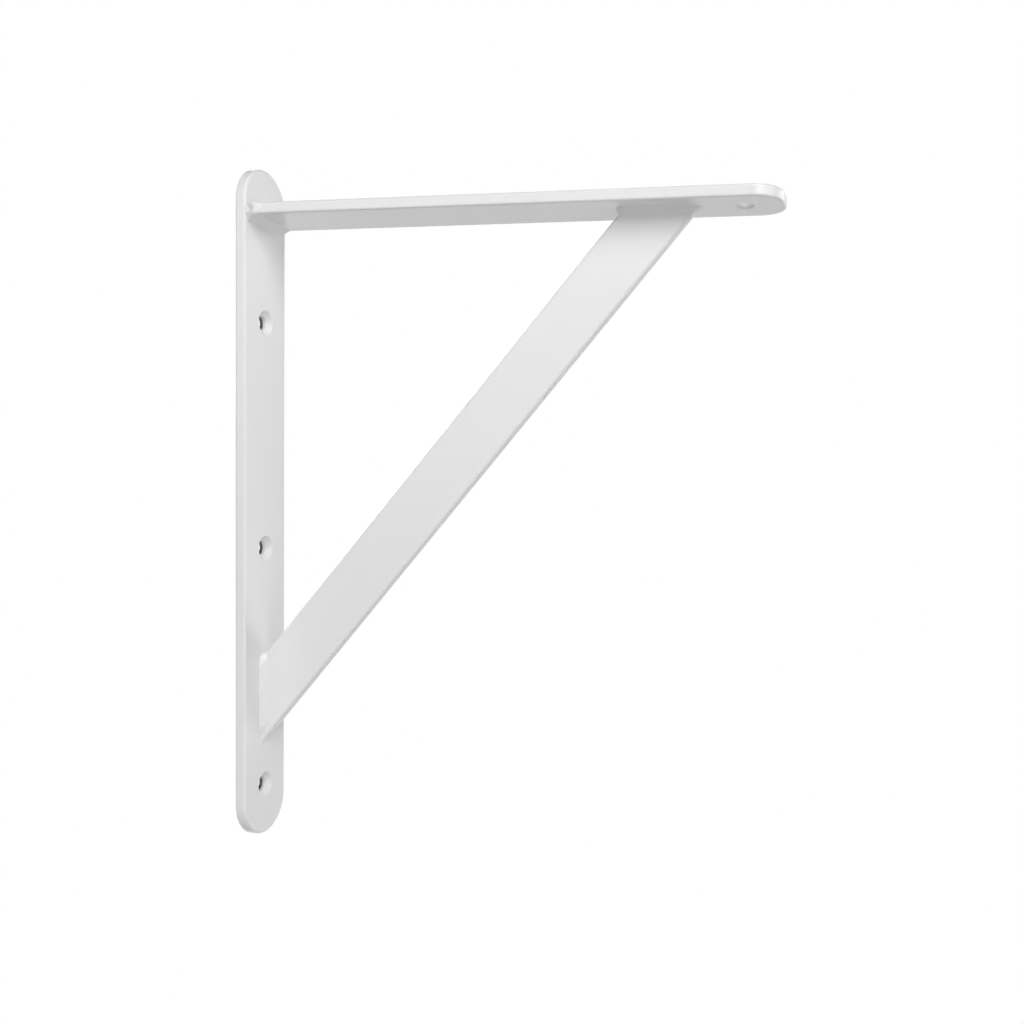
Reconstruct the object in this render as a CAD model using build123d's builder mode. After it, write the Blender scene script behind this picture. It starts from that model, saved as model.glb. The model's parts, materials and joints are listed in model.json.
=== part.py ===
from build123d import *
import math
import os

# Welded shelf bracket of flat steel bar, in millimetres.
# The origin lies on the wall face of the plate, on the middle plane, level with the shelf face.
# +X runs out from the wall along the arm, +Y across the bars and +Z up.

# Flat bar of the wall plate and the shelf arm
bar_width = 32.0
bar_thickness = 5.0
edge_radius = 1.0            # rounded edges of both bars, coat of paint included

# Wall plate
plate_length = 300.0
plate_rise = 18.0            # how far the plate stands above the shelf face

# Countersunk screw holes in the wall plate
screw_hole_dia = 6.5
countersink_dia = 11.0
countersink_angle = 90.0
lower_hole_inset = 22.5      # from the lower end of the plate
upper_hole_inset = 67.5      # from the upper end of the plate
middle_hole_lift = 3.5       # above the point halfway between the outer holes

# Shelf arm
arm_reach = 239.0            # from the wall face to the tip
arm_tip_radius = 12.0        # rounded corners of the tip
shelf_hole_dia = 6.5
shelf_hole_inset = 16.5      # from the tip
shelf_hole_lip = 1.2         # softened rim of the plain hole

# Diagonal brace
brace_width = 25.0
brace_thickness = 5.0
brace_edge_radius = 1.4      # the brace's bar has rounder edges than the other two
brace_foot_height = 62.0     # middle of the foot, above the lower end of the plate
brace_top_inset = 52.0       # middle of the top, back from the tip of the arm

# Fillet welds
arm_weld_leg = 3.5
arm_weld_hollow = 4.2        # radius of the bead's hollow face
arm_drop_radius = 3.0        # drop of weld on each edge of the arm, where the bead turns up
arm_drop_bulge = 0.7         # how far the drops stand out from the arm's edges
brace_weld_leg = 4.0
brace_end_leg = 3.0          # weld past the two narrow edges of the brace
weld_toe = 0.25              # thickness where a bead ends on a bar

# Planes and points that the pieces share
plate_top = plate_rise
plate_bottom = plate_rise - plate_length
plate_front = bar_thickness
arm_underside = -bar_thickness
half_width = bar_width / 2
tip_start = arm_reach - arm_tip_radius
half_tip = half_width - arm_tip_radius

lower_hole = plate_bottom + lower_hole_inset
upper_hole = plate_top - upper_hole_inset
middle_hole = (lower_hole + upper_hole) / 2 + middle_hole_lift

# The brace's middle line runs from the plate's front face to the arm's underside
brace_foot = plate_bottom + brace_foot_height
brace_top_reach = arm_reach - brace_top_inset
brace_run = brace_top_reach - plate_front
brace_lift = arm_underside - brace_foot
brace_angle = math.atan2(brace_lift, brace_run)
brace_direction = (math.cos(brace_angle), 0, math.sin(brace_angle))
half_foot = brace_width / (2 * math.cos(brace_angle))
half_top = brace_width / (2 * math.sin(brace_angle))

os.makedirs("parts", exist_ok=True)

# Wall plate: a bar with full round ends, countersunk from the front
with BuildPart() as wall_plate:
    with BuildSketch(Plane.YZ):
        with Locations((0, (plate_top + plate_bottom) / 2)):
            SlotOverall(plate_length, bar_width, rotation=90)
    extrude(amount=bar_thickness)
    fillet(wall_plate.edges().filter_by(Axis.X, reverse=True), radius=edge_radius)
    with Locations(Plane.YZ.offset(plate_front)):
        with Locations((0, lower_hole), (0, middle_hole), (0, upper_hole)):
            CounterSinkHole(
                radius=screw_hole_dia / 2,
                counter_sink_radius=countersink_dia / 2,
                counter_sink_angle=countersink_angle,
                depth=bar_thickness,
            )
wall_plate.part.label = "wall_plate"
export_step(wall_plate.part, "parts/wall_plate.step")

# Shelf arm: square end on the plate, rounded corners at the tip, plain hole with softened rims
with BuildPart() as shelf_arm:
    with BuildSketch(Plane.XY.offset(arm_underside)):
        with BuildLine():
            Line((tip_start, half_width), (plate_front, half_width))
            Line((plate_front, half_width), (plate_front, -half_width))
            Line((plate_front, -half_width), (tip_start, -half_width))
            RadiusArc((tip_start, -half_width), (arm_reach, -half_tip), -arm_tip_radius)
            Line((arm_reach, -half_tip), (arm_reach, half_tip))
            RadiusArc((arm_reach, half_tip), (tip_start, half_width), -arm_tip_radius)
        make_face()
    extrude(amount=bar_thickness)
    welded_end = shelf_arm.faces().sort_by(Axis.X).first
    fillet(shelf_arm.edges().filter_by(Axis.Z, reverse=True) - welded_end.edges(), radius=edge_radius)
    with Locations((arm_reach - shelf_hole_inset, 0, 0)):
        Hole(radius=shelf_hole_dia / 2, depth=bar_thickness)
    fillet(shelf_arm.edges(Select.LAST).filter_by(GeomType.CIRCLE), radius=shelf_hole_lip)
shelf_arm.part.label = "shelf_arm"
export_step(shelf_arm.part, "parts/shelf_arm.step")

# Diagonal brace: a bar on edge, mitred to the plate's front and the arm's underside
with BuildPart() as diagonal_brace:
    with BuildSketch(Plane.XZ):
        with BuildLine():
            Polyline(
                (plate_front, brace_foot - half_foot),
                (brace_top_reach + half_top, arm_underside),
                (brace_top_reach - half_top, arm_underside),
                (plate_front, brace_foot + half_foot),
                close=True,
            )
        make_face()
    extrude(amount=brace_thickness / 2, both=True)
    long_edges = diagonal_brace.edges().filter_by(Axis((0, 0, 0), brace_direction))
    fillet(long_edges, radius=brace_edge_radius)
diagonal_brace.part.label = "diagonal_brace"
export_step(diagonal_brace.part, "parts/diagonal_brace.step")

# Weld across the underside of the arm: a hollow bead that turns up both edges in a drop
drop_out = plate_front + arm_drop_radius
drop_side = half_width + arm_drop_bulge - arm_drop_radius
drop_height = -arm_drop_radius - edge_radius / 2    # keeps the drops below the shelf face
with BuildPart() as arm_weld:
    with BuildSketch(Plane.XZ):
        with BuildLine():
            Line((plate_front, arm_underside - arm_weld_leg), (plate_front, arm_underside))
            Line((plate_front, arm_underside), (plate_front + arm_weld_leg, arm_underside))
            RadiusArc(
                (plate_front + arm_weld_leg, arm_underside),
                (plate_front, arm_underside - arm_weld_leg),
                -arm_weld_hollow,
            )
        make_face()
    extrude(amount=half_width - edge_radius, both=True)
    with Locations((drop_out, drop_side, drop_height), (drop_out, -drop_side, drop_height)):
        Sphere(arm_drop_radius)
    add(wall_plate.part, mode=Mode.SUBTRACT)
    add(shelf_arm.part, mode=Mode.SUBTRACT)
arm_weld.part.label = "arm_weld"
export_step(arm_weld.part, "parts/arm_weld.step")

# The brace's welds are lofted straight from section to section, away from the face they start on.
# Their hollow follows a round cove, as thick as the leg at that face and thinning to the toe.
cove_steps = (0.0, 0.06, 0.2, 0.45, 1.0)    # heights of the sections, as shares of the leg


def cove(step):
    """Thickness of a bead at a step of its height, both as shares of its leg."""
    return 1 - math.sqrt(1 - (1 - step) ** 2)


# Weld round the foot of the brace, growing out of the plate's front face
with BuildPart() as brace_foot_weld:
    for step in cove_steps:
        height = step * brace_weld_leg
        side = max(brace_weld_leg * cove(step), weld_toe)
        end = max(brace_end_leg * cove(step), weld_toe)
        with BuildSketch(Plane.YZ.offset(plate_front + height)):
            with Locations((0, brace_foot + height * math.tan(brace_angle))):
                RectangleRounded(brace_thickness + 2 * side, 2 * (half_foot + end), edge_radius + end)
    loft(ruled=True)
    add(diagonal_brace.part, mode=Mode.SUBTRACT)
brace_foot_weld.part.label = "brace_foot_weld"
export_step(brace_foot_weld.part, "parts/brace_foot_weld.step")

# Weld round the top of the brace, growing down from the arm's underside
with BuildPart() as brace_top_weld:
    for step in cove_steps:
        height = step * brace_weld_leg
        side = max(brace_weld_leg * cove(step), weld_toe)
        end = max(brace_end_leg * cove(step), weld_toe)
        with BuildSketch(Plane.XY.offset(arm_underside - height)):
            with Locations((brace_top_reach - height / math.tan(brace_angle), 0)):
                RectangleRounded(2 * (half_top + end), brace_thickness + 2 * side, edge_radius + end)
    loft(ruled=True)
    add(diagonal_brace.part, mode=Mode.SUBTRACT)
brace_top_weld.part.label = "brace_top_weld"
export_step(brace_top_weld.part, "parts/brace_top_weld.step")
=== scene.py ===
"""A white wall bracket of welded flat steel bar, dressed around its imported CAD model.
Lengths are in metres, but the lens, the sensor and the stations of the weld beads are in millimetres."""

import json
import math

import bpy
from mathutils import Matrix, Vector, noise


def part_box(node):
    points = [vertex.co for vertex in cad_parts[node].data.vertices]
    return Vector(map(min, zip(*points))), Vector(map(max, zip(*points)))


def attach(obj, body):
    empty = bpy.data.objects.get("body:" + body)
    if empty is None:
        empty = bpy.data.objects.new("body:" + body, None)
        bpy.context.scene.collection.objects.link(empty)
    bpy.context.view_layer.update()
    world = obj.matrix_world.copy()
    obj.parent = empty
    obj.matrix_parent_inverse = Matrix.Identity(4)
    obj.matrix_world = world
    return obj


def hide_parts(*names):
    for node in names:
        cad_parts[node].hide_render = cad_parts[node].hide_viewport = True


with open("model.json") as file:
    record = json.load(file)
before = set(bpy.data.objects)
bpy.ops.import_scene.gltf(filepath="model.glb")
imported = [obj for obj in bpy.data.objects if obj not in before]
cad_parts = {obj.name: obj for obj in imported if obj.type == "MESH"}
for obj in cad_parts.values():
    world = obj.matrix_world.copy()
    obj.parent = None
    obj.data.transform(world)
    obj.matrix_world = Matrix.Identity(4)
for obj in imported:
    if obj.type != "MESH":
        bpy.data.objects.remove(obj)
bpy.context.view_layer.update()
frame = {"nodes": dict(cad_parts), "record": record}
scene = bpy.context.scene
MM = 0.001

# Camera: the photograph's viewing angle and framing
CAMERA_PLACE = Vector((0.294644, -0.463305, -0.127635))
CAMERA_RIGHT = Vector((0.979737, 0.199416, 0.018653))
CAMERA_UP = Vector((-0.027586, 0.042110, 0.998732))
CAMERA_BACK = Vector((0.198377, -0.979010, 0.046758))
CAMERA_LENS = 39.55394
CAMERA_SENSOR = 36.0
CAMERA_SHIFT = (-0.170898, 0.043945)
CAMERA_CLIP = (0.01, 50.0)

# Stage: a pale floor and a white backdrop
OBJECT_MIDDLE = Vector((0.10, 0.0, -0.13))
WHITE = (1.0, 1.0, 1.0, 1.0)
FLOOR_HEIGHT = -0.62
FLOOR_SIZE = 12.0
FLOOR_TONE = (0.74, 0.74, 0.74, 1.0)
FLOOR_NEAR = 0.1             # up to this far from the point under the object, its shading shows most
FLOOR_FAR = 0.5              # from here on it is as white as the backdrop
FLOOR_NEAR_GLOW = 0.6        # share of the backdrop's white in the floor under the object
BACKDROP_EDGE = (50.0, 25.0)    # degrees off the camera's line, where the mirrored white starts and is full

# Area lamps, all pointed at the object's middle: name, place, width, power in watts
LAMPS = (
    ("lamp_key", Vector((0.905, -1.265, 0.767)), 0.92, 14.2),
    ("lamp_right", Vector((1.25, -0.45, 0.12)), 0.8, 2.3),
    ("lamp_front_left", Vector((-0.50, -1.40, 0.35)), 1.0, 5.5),
    ("lamp_high", Vector((0.35, -0.80, 0.90)), 0.5, 4.2),
    ("lamp_right_back", Vector((1.00, 0.80, 0.10)), 0.8, 5.0),
    ("lamp_back", Vector((-1.10, 0.95, 0.40)), 0.8, 6.4),
)
WORLD_LEVEL = 0.01           # faint light from all round

# White coat, semi-gloss, with the faint orange peel of powder paint
COAT_DARK = (0.856, 0.856, 0.857, 1.0)
COAT_LIGHT = (0.864, 0.864, 0.864, 1.0)
COAT_ROUGHNESS = (0.254, 0.27)
NOISE_SPAN = (0.3, 0.7)      # where most values of the noise lie
TONE_SIZE = 70.0 * MM
GLOSS_SIZE = 45.0 * MM
PEEL_SIZE = 1.3 * MM
PEEL_DEPTH = 0.003 * MM
# Painted shade: a dark grey painted on the deep part of the wall plate's screw holes, in place of the shade
# there
HOLE_SHADE_DARK = (0.10, 0.10, 0.105, 1.0)
HOLE_SHADE_RADIUS = (3.35 * MM, 3.6 * MM)     # from a hole's axis, where the painted shade ends and full coat starts
HOLE_SHADE_DEPTH = (1.2 * MM, 1.8 * MM)       # from the wall, where the painted shade in a hole ends

# The bars: their boxes from the frame, and the brace's width as in the CAD
plate_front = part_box("wall_plate")[1].x
arm_low, arm_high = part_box("shelf_arm")
brace_low, brace_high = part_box("diagonal_brace")
BRACE_WIDTH = 25.0 * MM
brace_slope = math.atan2(brace_high.z - brace_low.z, brace_high.x - brace_low.x)
brace_way = Vector((math.cos(brace_slope), 0.0, math.sin(brace_slope)))
foot_end = brace_low.z + BRACE_WIDTH / math.cos(brace_slope)
top_start = brace_high.x - BRACE_WIDTH / math.sin(brace_slope)

# Weld beads
SEAM_RADIUS = 1.0 * MM       # round corners of the seams
CORNER_STEPS = 8             # straight steps in each round corner
BEAD_STEP = 0.35 * MM        # between sections along a seam
BEAD_SUNK = 0.12 * MM        # how far the toes go under the bars' surfaces
BEAD_CORE = 0.9 * MM         # depth of the hidden side of a bead
BEAD_ARC = 14                # steps across a bead's face
BEAD_UNEVEN = 0.12           # change of the legs along the seam, as a share
BEAD_WAVE = 5.0 * MM
BAR_LEG_NOISE = Vector((7, 3, 5))    # sets the noise of the leg on the bar apart from that of the other leg
RIPPLE_LENGTH = 1.7 * MM
RIPPLE_DEPTH = 0.02 * MM
LUMP_SIZE = 2.4 * MM
LUMP_DEPTH = 0.12 * MM
CROWN_LUMPS = 0.3            # lumps grow with the crown, as a share of it

# Stations of each bead along its seam, lengths in millimetres: share of the seam, leg on the face it is
# welded to, leg on the bar, fullness of the hollow (0.5 is straight) and how far its crown stands out.
# With a negative first leg the toe lies inside the bar's outline, and only the crown shows.
ARM_BEAD_START = 2.4 * MM    # where the arm's bead begins, on the shelf face
ARM_BEAD = (
    (0.00, 0.6, 2.5, 0.50, 0.1),
    (0.03, 0.6, 4.5, 0.50, 0.6),
    (0.07, -0.8, 7.0, 0.50, 1.0),
    (0.11, -1.2, 8.0, 0.50, 1.2),
    (0.15, -1.0, 7.2, 0.50, 1.0),
    (0.20, 2.4, 6.2, 0.44, 0.3),
    (0.30, 3.4, 5.2, 0.34, 0.0),
    (0.60, 3.6, 4.6, 0.32, 0.0),
    (0.83, 3.2, 3.6, 0.36, 0.0),
    (0.88, -0.6, 3.2, 0.50, 0.7),
    (0.93, -0.6, 2.8, 0.50, 0.8),
    (1.00, -0.8, 0.8, 0.50, 0.1),
)
FOOT_BEAD = (
    (0.00, 2.0, 2.6, 0.45, 0.0),
    (0.06, 3.0, 4.4, 0.46, 0.0),
    (0.12, 2.8, 4.8, 0.34, 0.0),
    (0.38, 2.8, 4.8, 0.30, 0.0),
    (0.44, 1.6, 2.2, 0.40, 0.0),
    (0.50, 1.6, 2.2, 0.40, 0.0),
    (0.56, 2.8, 4.0, 0.36, 0.0),
    (0.88, 3.0, 4.2, 0.36, 0.0),
    (1.00, 2.0, 2.6, 0.45, 0.0),
)
TOP_BEAD = (
    (0.00, 2.0, 2.4, 0.45, 0.0),
    (0.06, 2.4, 3.0, 0.45, 0.0),
    (0.14, 3.4, 5.4, 0.36, 0.0),
    (0.40, 3.4, 5.8, 0.28, 0.0),
    (0.50, 2.4, 3.0, 0.45, 0.0),
    (0.58, 2.4, 3.0, 0.45, 0.0),
    (0.70, 3.2, 4.0, 0.38, 0.0),
    (1.00, 2.0, 2.4, 0.45, 0.0),
)

# Sockets of a Mix node that carry colours
MIX_INPUTS = (6, 7)
MIX_RESULT = 2


def node(tree, kind, **inputs):
    """Adds a shader node and sets its plain inputs by name."""
    made = tree.nodes.new(kind)
    for name, value in inputs.items():
        made.inputs[name.replace("_", " ")].default_value = value
    return made


def math_node(tree, operation, a, b=None):
    """A math node fed by sockets or plain numbers."""
    made = tree.nodes.new("ShaderNodeMath")
    made.operation = operation
    for slot, value in enumerate((a, b)):
        if isinstance(value, bpy.types.NodeSocket):
            tree.links.new(value, made.inputs[slot])
        elif value is not None:
            made.inputs[slot].default_value = value
    return made.outputs[0]


def ranged(tree, value, source, target):
    """Maps a socket from one range to another, smoothly and within its ends."""
    made = tree.nodes.new("ShaderNodeMapRange")
    made.interpolation_type = "SMOOTHSTEP"
    tree.links.new(value, made.inputs["Value"])
    made.inputs["From Min"].default_value, made.inputs["From Max"].default_value = source
    made.inputs["To Min"].default_value, made.inputs["To Max"].default_value = target
    return made.outputs["Result"]


def clouds(tree, place, size, detail=2.0):
    """Noise whose patches are about one size across."""
    made = node(tree, "ShaderNodeTexNoise", Scale=1.0 / size, Detail=detail)
    tree.links.new(place, made.inputs["Vector"])
    return made.outputs["Fac"]


def blended(tree, share, first, second):
    """Mixes two colours, each a plain colour or a socket."""
    made = tree.nodes.new("ShaderNodeMix")
    made.data_type = "RGBA"
    tree.links.new(share, made.inputs["Factor"])
    for slot, value in zip(MIX_INPUTS, (first, second)):
        if isinstance(value, bpy.types.NodeSocket):
            tree.links.new(value, made.inputs[slot])
        else:
            made.inputs[slot].default_value = value
    return made.outputs[MIX_RESULT]


def seen_directly(tree, backdrop=None):
    """1 on camera, mirror and see-through rays, 0 on rays that carry light between surfaces.
    With a backdrop given, mirror and see-through rays are kept to its share of the surroundings."""
    path = tree.nodes.new("ShaderNodeLightPath")
    bent = math_node(tree, "MAXIMUM", path.outputs["Is Glossy Ray"], path.outputs["Is Transmission Ray"])
    if backdrop is not None:
        bent = math_node(tree, "MULTIPLY", bent, backdrop)
    return math_node(tree, "MAXIMUM", path.outputs["Is Camera Ray"], bent)


def make_camera():
    """The photograph's camera."""
    data = bpy.data.cameras.new("camera")
    data.lens = CAMERA_LENS
    data.sensor_width = CAMERA_SENSOR
    data.shift_x, data.shift_y = CAMERA_SHIFT
    data.clip_start, data.clip_end = CAMERA_CLIP
    camera = bpy.data.objects.new("camera", data)
    turn = Matrix((CAMERA_RIGHT, CAMERA_UP, CAMERA_BACK)).transposed().to_4x4()
    camera.matrix_world = Matrix.Translation(CAMERA_PLACE) @ turn
    scene.collection.objects.link(camera)
    scene.camera = camera


def make_lamps():
    """Soft square lamps round the object, unseen by the camera."""
    for name, place, width, power in LAMPS:
        data = bpy.data.lights.new(name, "AREA")
        data.shape = "SQUARE"
        data.size = width
        data.energy = power
        lamp = bpy.data.objects.new(name, data)
        aim = (OBJECT_MIDDLE - place).to_track_quat("-Z", "Y").to_matrix().to_4x4()
        lamp.matrix_world = Matrix.Translation(place) @ aim
        lamp.visible_camera = False
        scene.collection.objects.link(lamp)


def make_world():
    """White to the camera, white to mirror rays only behind the object, and nearly dark as a light."""
    world = bpy.data.worlds.new("studio")
    world.use_nodes = True
    tree = world.node_tree
    tree.nodes.clear()
    backdrop = node(tree, "ShaderNodeBackground", Color=WHITE, Strength=1.0)
    fill = node(tree, "ShaderNodeBackground", Color=WHITE, Strength=WORLD_LEVEL)
    facing = tree.nodes.new("ShaderNodeVectorMath")
    facing.operation = "DOT_PRODUCT"
    tree.links.new(tree.nodes.new("ShaderNodeTexCoord").outputs["Generated"], facing.inputs[0])
    facing.inputs[1].default_value = -CAMERA_BACK
    fade = [math.cos(math.radians(angle)) for angle in BACKDROP_EDGE]
    sheet = ranged(tree, facing.outputs["Value"], fade, (0.0, 1.0))
    mix = tree.nodes.new("ShaderNodeMixShader")
    out = tree.nodes.new("ShaderNodeOutputWorld")
    tree.links.new(seen_directly(tree, sheet), mix.inputs[0])
    tree.links.new(fill.outputs[0], mix.inputs[1])
    tree.links.new(backdrop.outputs[0], mix.inputs[2])
    tree.links.new(mix.outputs[0], out.inputs[0])
    scene.world = world


def make_floor():
    """A pale floor under the object, which turns as white as the backdrop away from it."""
    half = FLOOR_SIZE / 2
    mesh = bpy.data.meshes.new("floor")
    corners = [(x, y, 0.0) for x, y in ((-half, -half), (half, -half), (half, half), (-half, half))]
    mesh.from_pydata(corners, [], [(0, 1, 2, 3)])
    floor = bpy.data.objects.new("floor", mesh)
    floor.location = (OBJECT_MIDDLE.x, OBJECT_MIDDLE.y, FLOOR_HEIGHT)
    scene.collection.objects.link(floor)
    material = bpy.data.materials.new("pale_floor")
    material.use_nodes = True
    tree = material.node_tree
    tree.nodes.clear()
    paint = node(tree, "ShaderNodeBsdfDiffuse", Color=FLOOR_TONE)
    glow = node(tree, "ShaderNodeEmission", Color=WHITE, Strength=1.0)
    distance = tree.nodes.new("ShaderNodeVectorMath")
    distance.operation = "LENGTH"
    tree.links.new(tree.nodes.new("ShaderNodeTexCoord").outputs["Object"], distance.inputs[0])
    share = ranged(tree, distance.outputs["Value"], (FLOOR_NEAR, FLOOR_FAR), (FLOOR_NEAR_GLOW, 1.0))
    mix = tree.nodes.new("ShaderNodeMixShader")
    out = tree.nodes.new("ShaderNodeOutputMaterial")
    tree.links.new(math_node(tree, "MULTIPLY", seen_directly(tree), share), mix.inputs[0])
    tree.links.new(paint.outputs[0], mix.inputs[1])
    tree.links.new(glow.outputs[0], mix.inputs[2])
    tree.links.new(mix.outputs[0], out.inputs[0])
    mesh.materials.append(material)


def hole_shade_mask(tree, place):
    """Painted shade: 1 on the walls of the wall plate's screw holes near the wall, where shade is painted
    dark, 0 on the coat around them.
    """
    parts = tree.nodes.new("ShaderNodeSeparateXYZ")
    tree.links.new(place, parts.inputs[0])
    nearest = None
    for mount in frame["record"]["mounts"]:
        # The plate's bores are those that run along X
        if mount["kind"] == "bore" and mount["axis"][0]:
            drop = math_node(tree, "SUBTRACT", parts.outputs["Z"], mount["pos_m"][2])
            across = math_node(tree, "MULTIPLY", parts.outputs["Y"], parts.outputs["Y"])
            distance = math_node(tree, "ADD", across, math_node(tree, "MULTIPLY", drop, drop))
            nearest = distance if nearest is None else math_node(tree, "MINIMUM", nearest, distance)
    inside = ranged(tree, math_node(tree, "SQRT", nearest), HOLE_SHADE_RADIUS, (1.0, 0.0))
    return math_node(tree, "MULTIPLY", inside, ranged(tree, parts.outputs["X"], HOLE_SHADE_DEPTH, (1.0, 0.0)))


def coat_material(name, with_hole_shade=False):
    """White powder coat: cloudy tone, uneven gloss and orange peel, with painted shade in the wall plate's
    screw holes where asked.
    """
    material = bpy.data.materials.new(name)
    material.use_nodes = True
    tree = material.node_tree
    surface = tree.nodes["Principled BSDF"]
    place = tree.nodes.new("ShaderNodeTexCoord").outputs["Object"]
    colour = blended(tree, clouds(tree, place, TONE_SIZE, detail=0.0), COAT_DARK, COAT_LIGHT)
    if with_hole_shade:
        # Painted shade: dark grey mixed in deep inside the wall plate's screw holes
        colour = blended(tree, hole_shade_mask(tree, place), colour, HOLE_SHADE_DARK)
    gloss = ranged(tree, clouds(tree, place, GLOSS_SIZE, detail=0.0), NOISE_SPAN, COAT_ROUGHNESS)
    peel = node(tree, "ShaderNodeBump", Strength=1.0, Distance=PEEL_DEPTH)
    tree.links.new(clouds(tree, place, PEEL_SIZE), peel.inputs["Height"])
    tree.links.new(colour, surface.inputs["Base Color"])
    tree.links.new(gloss, surface.inputs["Roughness"])
    tree.links.new(peel.outputs["Normal"], surface.inputs["Normal"])
    return material


def seam(corners, closed):
    """Even points along straight runs with round corners, each with the direction on its right hand."""
    count = len(corners)
    points = []
    for i, corner in enumerate(corners):
        if not closed and i in (0, count - 1):
            points.append(corner)
            continue
        back = (corners[i - 1] - corner).normalized()
        ahead = (corners[(i + 1) % count] - corner).normalized()
        centre = corner + (back + ahead) * SEAM_RADIUS
        for step in range(CORNER_STEPS + 1):
            angle = step / CORNER_STEPS * math.pi / 2
            along_ahead = ahead * SEAM_RADIUS * math.cos(angle)
            along_back = back * SEAM_RADIUS * math.sin(angle)
            points.append(centre - along_ahead - along_back)
    if closed:
        points.append(points[0])
    lengths = [0.0]
    for a, b in zip(points, points[1:]):
        lengths.append(lengths[-1] + (b - a).length)
    steps = round(lengths[-1] / BEAD_STEP)
    even = []
    run = 0
    for k in range(steps if closed else steps + 1):
        at = lengths[-1] * k / steps
        while run < len(points) - 2 and lengths[run + 1] < at:
            run += 1
        along = (points[run + 1] - points[run]).normalized()
        even.append((points[run] + along * (at - lengths[run]), Vector((along.y, -along.x))))
    return even, lengths[-1]


def station(stations, share):
    """Legs, fullness and crown at a share of the seam, eased from one station to the next."""
    for (s0, *first), (s1, *second) in zip(stations, stations[1:]):
        if share <= s1:
            ease = (share - s0) / (s1 - s0)
            ease = ease * ease * (3 - 2 * ease)
            return [a + (b - a) * ease for a, b in zip(first, second)]
    return list(stations[-1][1:])


def make_bead(name, node_name, corners, closed, stations, spread, face_out, bar_way, material):
    """A fillet weld along a seam, in place of a node. Spread takes a seam point into the frame, face_out
    leaves the face that is welded to, and bar_way leads along the bar away from that face."""
    path, length = seam([Vector(c) for c in corners], closed)
    verts = []
    for k, (flat, flat_out) in enumerate(path):
        point = spread(flat)
        out = spread(flat + flat_out) - point
        share = k / (len(path) - (0 if closed else 1))
        leg_face, leg_bar, fullness, crown = station(stations, share)
        leg_face *= MM * (1 + BEAD_UNEVEN * noise.noise(point / BEAD_WAVE))
        leg_bar *= MM * (1 + BEAD_UNEVEN * noise.noise(point / BEAD_WAVE + BAR_LEG_NOISE))
        ripple = RIPPLE_DEPTH * math.sin(2 * math.pi * share * round(length / RIPPLE_LENGTH))
        toe_face = point + out * leg_face - face_out * BEAD_SUNK
        toe_bar = point + bar_way * leg_bar - out * BEAD_SUNK
        middle = point + (out * leg_face + bar_way * leg_bar) * fullness
        for j in range(BEAD_ARC + 1):
            t = j / BEAD_ARC
            spot = toe_face * (1 - t) ** 2 + middle * 2 * t * (1 - t) + toe_bar * t * t
            lump = ripple + (LUMP_DEPTH + CROWN_LUMPS * crown * MM) * noise.noise(spot / LUMP_SIZE)
            # Crown and lumps are full in the middle of the face and end at the toes
            verts.append(spot + (out * crown * MM + (out + face_out) * lump) * 4 * t * (1 - t))
        verts.append(toe_bar - out * BEAD_CORE)
        verts.append(point - (out + face_out) * BEAD_CORE)
        verts.append(toe_face - face_out * BEAD_CORE)
    rows = len(path)
    ring = len(verts) // rows
    faces = []
    for k in range(rows if closed else rows - 1):
        for j in range(ring):
            a, b = k * ring, (k + 1) % rows * ring
            faces.append((a + j, a + (j + 1) % ring, b + (j + 1) % ring, b + j))
    if not closed:
        faces.append(tuple(reversed(range(ring))))
        faces.append(tuple(range((rows - 1) * ring, rows * ring)))
    mesh = bpy.data.meshes.new(name)
    mesh.from_pydata(verts, [], faces)
    mesh.materials.append(material)
    mesh.shade_smooth()
    bead = bpy.data.objects.new(name, mesh)
    scene.collection.objects.link(bead)
    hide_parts(node_name)
    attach(bead, "root")


make_camera()
make_lamps()
make_world()
make_floor()

coat = coat_material("white_coat")
# The wall plate's coat has painted shade in its screw holes
plate_coat = coat_material("white_coat_hole_shade", with_hole_shade=True)
weld_coat = coat_material("white_coat_weld")
for name, obj in frame["nodes"].items():
    obj.data.materials.clear()
    obj.data.materials.append(plate_coat if name == "wall_plate" else coat)

# Weld of the arm: round its near edge, across its underside and up its far edge
make_bead(
    "arm_weld_bead", "arm_weld",
    (
        (arm_low.y + ARM_BEAD_START, arm_high.z), (arm_low.y, arm_high.z), (arm_low.y, arm_low.z),
        (arm_high.y, arm_low.z), (arm_high.y, arm_high.z),
    ),
    False, ARM_BEAD,
    lambda p: Vector((plate_front, p.x, p.y)), Vector((1, 0, 0)), Vector((1, 0, 0)), weld_coat,
)
# Weld round the brace's foot, on the plate
make_bead(
    "brace_foot_bead", "brace_foot_weld",
    (
        (brace_low.y, foot_end), (brace_low.y, brace_low.z),
        (brace_high.y, brace_low.z), (brace_high.y, foot_end),
    ),
    True, FOOT_BEAD,
    lambda p: Vector((plate_front, p.x, p.y)), Vector((1, 0, 0)), brace_way, weld_coat,
)
# Weld round the brace's top, under the arm
make_bead(
    "brace_top_bead", "brace_top_weld",
    (
        (top_start, brace_high.y), (top_start, brace_low.y),
        (brace_high.x, brace_low.y), (brace_high.x, brace_high.y),
    ),
    True, TOP_BEAD,
    lambda p: Vector((p.x, p.y, brace_high.z)), Vector((0, 0, -1)), -brace_way, weld_coat,
)

scene.view_settings.view_transform = "Standard"
